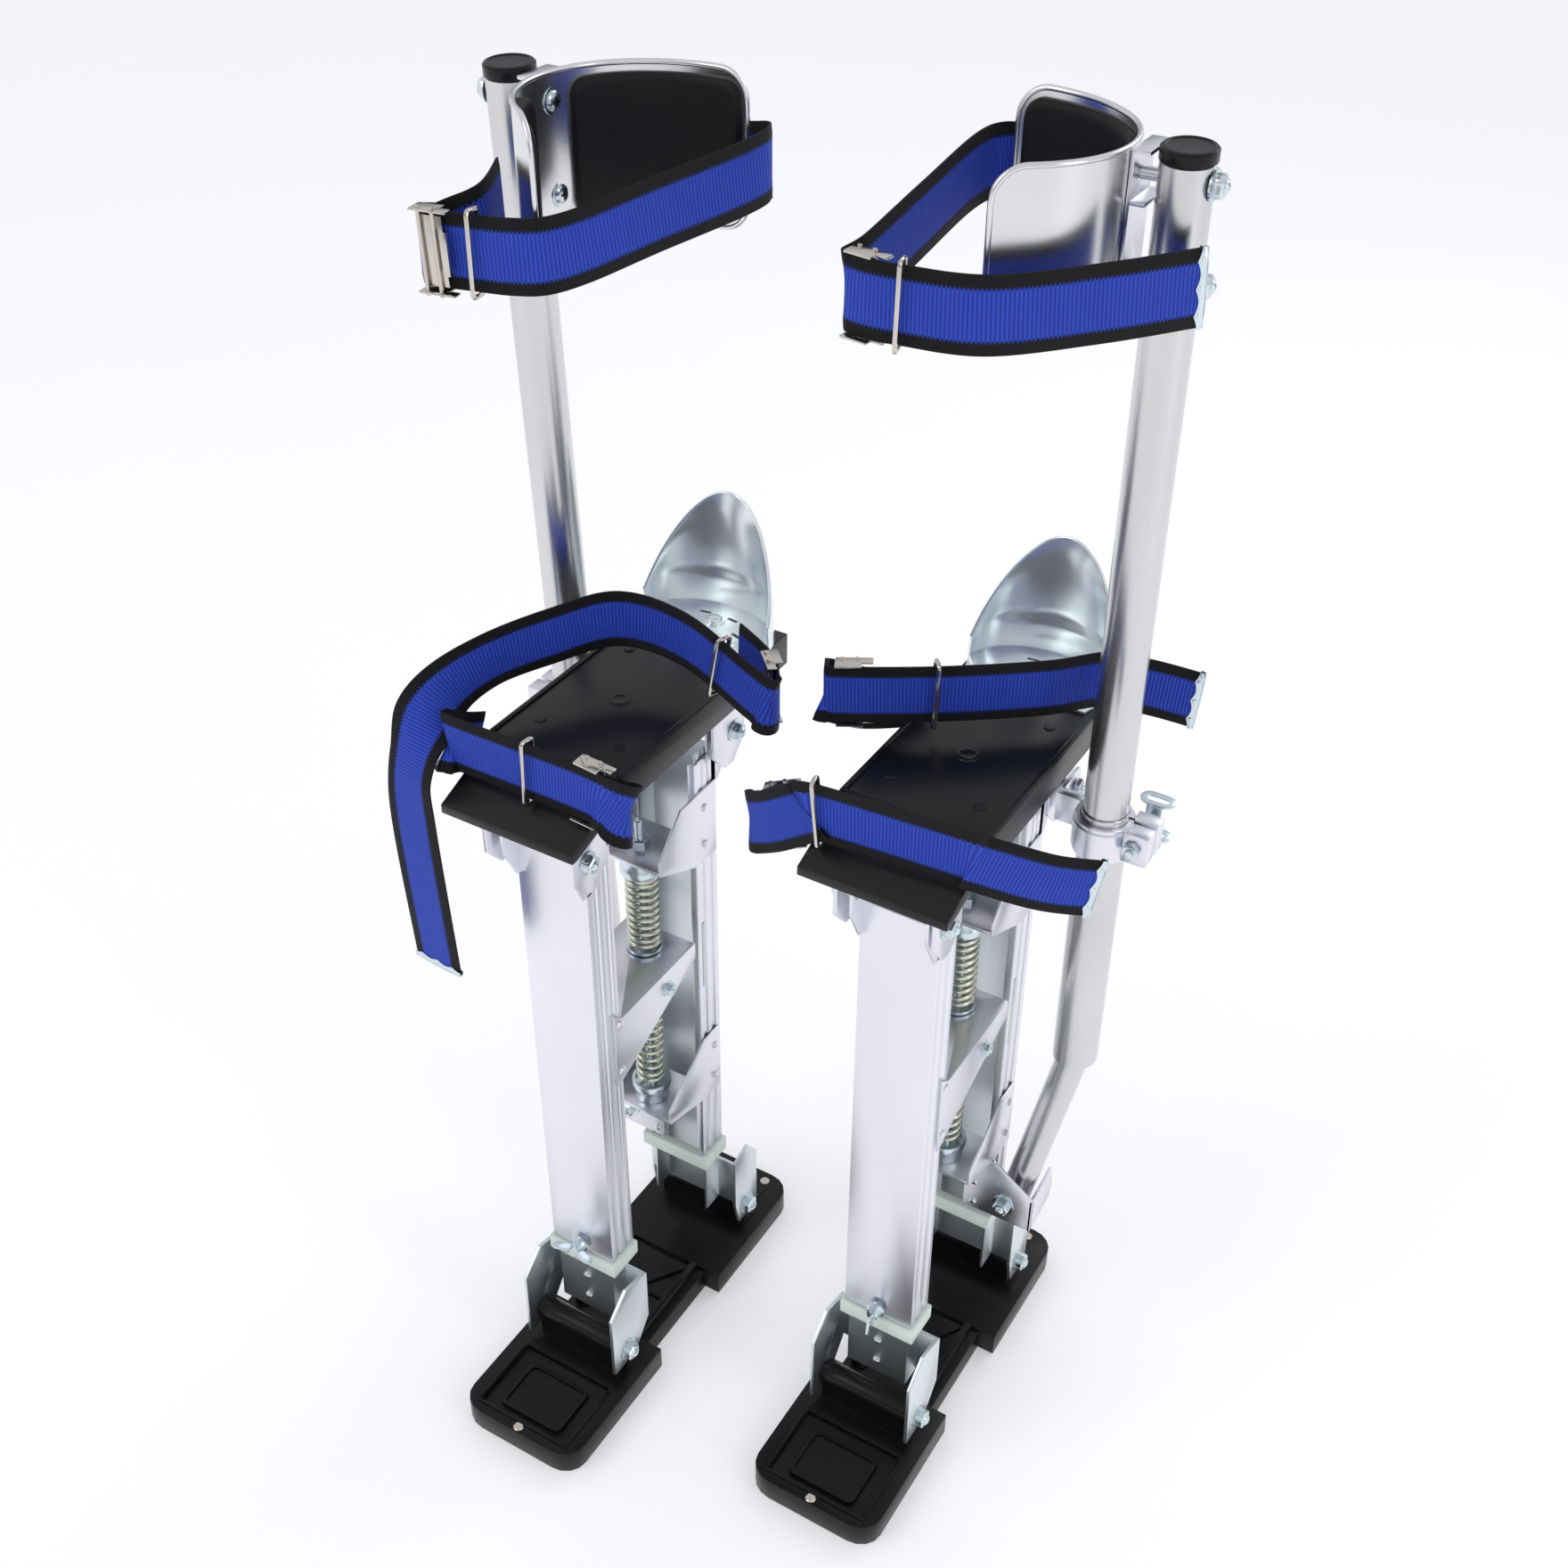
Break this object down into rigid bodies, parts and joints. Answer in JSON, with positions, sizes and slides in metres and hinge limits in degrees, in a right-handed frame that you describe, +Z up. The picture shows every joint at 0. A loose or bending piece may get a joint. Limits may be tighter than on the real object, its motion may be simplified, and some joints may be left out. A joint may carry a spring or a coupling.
{
  "type": "drywall stilts",
  "caption": "Pair of spring-balanced work stilts with telescoping struts, foot decks, heel cups, calf cuffs and webbing straps.",
  "frame": {"origin": "centre of the pair's bounding box, on the floor plane under the soles", "axes": "+Z up, -Y towards the toes, +X towards the wearer's left stilt"},
  "size_m": [0.491, 0.4184, 1.0541],
  "materials": {
    "black_plastic": "satin black coating",
    "pad_rubber": "soft black cuff lining",
    "anodised_aluminium": "clear anodised, satin",
    "polished_aluminium": "polished",
    "galvanised_steel": "bright galvanised",
    "zinc_plated_steel": "bright zinc plate, bluish",
    "nylon": "translucent white nylon",
    "blue_webbing": "woven strap, royal blue with black edges"
  },
  "bodies": {
    "right_base": {"right_sole": "black_plastic"},
    "right_front_foot": {"right_front_strut_foot": "polished_aluminium"},
    "right_rear_foot": {"right_rear_strut_foot": "polished_aluminium"},
    "right_front_leg": {"right_front_strut": "anodised_aluminium", "right_front_strut_collar": "nylon", "right_centre_plate": "anodised_aluminium"},
    "right_rear_leg": {"right_rear_strut": "anodised_aluminium", "right_rear_strut_collar": "nylon", "right_spring_carrier": "zinc_plated_steel", "right_leg_tube_bracket": "galvanised_steel", "right_lower_leg_tube": "anodised_aluminium", "right_tube_clamp": "anodised_aluminium", "right_upper_spring": "zinc_plated_steel", "right_lower_spring": "zinc_plated_steel"},
    "right_spring_slide": {"right_spring_seat": "zinc_plated_steel"},
    "right_front_wing": {"right_front_wing_bolt": "zinc_plated_steel"},
    "right_clamp_wing": {"right_clamp_wing_bolt": "zinc_plated_steel"},
    "right_calf_tube": {"right_upper_leg_tube": "polished_aluminium", "right_tube_cap": "black_plastic", "right_cuff_bracket": "anodised_aluminium", "right_cuff_shell": "polished_aluminium", "right_rear_cuff_pad": "pad_rubber", "right_front_cuff_pad": "pad_rubber", "right_calf_strap": "blue_webbing"},
    "right_deck_group": {"right_foot_deck": "black_plastic", "right_front_deck_bracket": "anodised_aluminium", "right_rear_deck_bracket": "anodised_aluminium", "right_heel_cup": "galvanised_steel", "right_toe_strap": "blue_webbing", "right_heel_strap": "blue_webbing"},
    "left_base": {"left_sole": "black_plastic"},
    "left_front_foot": {"left_front_strut_foot": "polished_aluminium"},
    "left_rear_foot": {"left_rear_strut_foot": "polished_aluminium"},
    "left_front_leg": {"left_front_strut": "anodised_aluminium", "left_front_strut_collar": "nylon", "left_centre_plate": "anodised_aluminium"},
    "left_rear_leg": {"left_rear_strut": "anodised_aluminium", "left_rear_strut_collar": "nylon", "left_spring_carrier": "zinc_plated_steel", "left_leg_tube_bracket": "galvanised_steel", "left_lower_leg_tube": "anodised_aluminium", "left_tube_clamp": "anodised_aluminium", "left_upper_spring": "zinc_plated_steel", "left_lower_spring": "zinc_plated_steel"},
    "left_spring_slide": {"left_spring_seat": "zinc_plated_steel"},
    "left_front_wing": {"left_front_wing_bolt": "zinc_plated_steel"},
    "left_clamp_wing": {"left_clamp_wing_bolt": "zinc_plated_steel"},
    "left_calf_tube": {"left_upper_leg_tube": "polished_aluminium", "left_tube_cap": "black_plastic", "left_cuff_bracket": "anodised_aluminium", "left_cuff_shell": "polished_aluminium", "left_rear_cuff_pad": "pad_rubber", "left_front_cuff_pad": "pad_rubber", "left_calf_strap": "blue_webbing"},
    "left_deck_group": {"left_foot_deck": "black_plastic", "left_front_deck_bracket": "anodised_aluminium", "left_rear_deck_bracket": "anodised_aluminium", "left_heel_cup": "galvanised_steel", "left_toe_strap": "blue_webbing", "left_heel_strap": "blue_webbing"}
  },
  "joints": [
    {"name": "right_lean", "type": "hinge", "parent": "right_base", "child": "right_rear_foot", "pos_m": [-0.12512, 0.07858, 0.05014], "axis": [1, 0, 0], "range_deg": [-8, 8], "stiffness_Nm_per_rad": 150},
    {"name": "right_front_lean", "type": "hinge", "parent": "right_base", "child": "right_front_foot", "pos_m": [-0.12512, -0.10974, 0.05014], "axis": [1, 0, 0], "range_deg": [-8, 8]},
    {"name": "right_height", "type": "slide", "parent": "right_rear_foot", "child": "right_rear_leg", "axis": [0, 0, 1], "range_m": [0, 0.36]},
    {"name": "right_front_height", "type": "slide", "parent": "right_front_foot", "child": "right_front_leg", "axis": [0, 0, 1], "range_m": [0, 0.36]},
    {"name": "right_deck_tilt", "type": "hinge", "parent": "right_rear_leg", "child": "right_deck_group", "pos_m": [-0.12512, 0.07858, 0.57134], "axis": [1, 0, 0], "range_deg": [-8, 8]},
    {"name": "right_spring_travel", "type": "slide", "parent": "right_rear_leg", "child": "right_spring_slide", "axis": [0, 0, 1], "range_m": [-0.03, 0.03], "deforming": ["right_upper_spring", "right_lower_spring"]},
    {"name": "right_front_wing_turn", "type": "hinge", "parent": "right_front_leg", "child": "right_front_wing", "pos_m": [-0.12512, -0.10182, 0.151], "axis": [0, 1, 0], "continuous": true},
    {"name": "right_clamp_wing_turn", "type": "hinge", "parent": "right_rear_leg", "child": "right_clamp_wing", "pos_m": [-0.23432, 0.04504, 0.56901], "axis": [0, 1, 0], "continuous": true},
    {"name": "right_calf_height", "type": "slide", "parent": "right_rear_leg", "child": "right_calf_tube", "axis": [-0.0071, -0.0378, 0.9993], "range_m": [-0.01, 0.12]},
    {"name": "left_lean", "type": "hinge", "parent": "left_base", "child": "left_rear_foot", "pos_m": [0.11508, 0.14758, 0.05014], "axis": [1, 0, 0], "range_deg": [-8, 8], "stiffness_Nm_per_rad": 150},
    {"name": "left_front_lean", "type": "hinge", "parent": "left_base", "child": "left_front_foot", "pos_m": [0.11508, -0.04074, 0.05014], "axis": [1, 0, 0], "range_deg": [-8, 8]},
    {"name": "left_height", "type": "slide", "parent": "left_rear_foot", "child": "left_rear_leg", "axis": [0, 0, 1], "range_m": [0, 0.36]},
    {"name": "left_front_height", "type": "slide", "parent": "left_front_foot", "child": "left_front_leg", "axis": [0, 0, 1], "range_m": [0, 0.36]},
    {"name": "left_deck_tilt", "type": "hinge", "parent": "left_rear_leg", "child": "left_deck_group", "pos_m": [0.11508, 0.14758, 0.57134], "axis": [1, 0, 0], "range_deg": [-8, 8]},
    {"name": "left_spring_travel", "type": "slide", "parent": "left_rear_leg", "child": "left_spring_slide", "axis": [0, 0, 1], "range_m": [-0.03, 0.03], "deforming": ["left_upper_spring", "left_lower_spring"]},
    {"name": "left_front_wing_turn", "type": "hinge", "parent": "left_front_leg", "child": "left_front_wing", "pos_m": [0.11508, -0.03282, 0.151], "axis": [0, 1, 0], "continuous": true},
    {"name": "left_clamp_wing_turn", "type": "hinge", "parent": "left_rear_leg", "child": "left_clamp_wing", "pos_m": [0.22428, 0.11404, 0.56901], "axis": [0, 1, 0], "continuous": true},
    {"name": "left_calf_height", "type": "slide", "parent": "left_rear_leg", "child": "left_calf_tube", "axis": [0.0071, -0.0378, 0.9993], "range_m": [-0.01, 0.12]},
    {"name": "left_step", "type": "slide", "parent": "right_base", "child": "left_base", "axis": [0, 1, 0], "range_m": [-0.25, 0.25]}
  ],
  "couplings": [
    {"joint": "right_front_lean", "follows": "right_lean", "ratio": 1},
    {"joint": "right_front_height", "follows": "right_height", "ratio": 1},
    {"joint": "right_deck_tilt", "follows": "right_lean", "ratio": -1},
    {"joint": "right_spring_travel", "follows": "right_lean", "m_per_rad": 0.1883},
    {"joint": "left_front_lean", "follows": "left_lean", "ratio": 1},
    {"joint": "left_front_height", "follows": "left_height", "ratio": 1},
    {"joint": "left_deck_tilt", "follows": "left_lean", "ratio": -1},
    {"joint": "left_spring_travel", "follows": "left_lean", "m_per_rad": 0.1883}
  ]
}
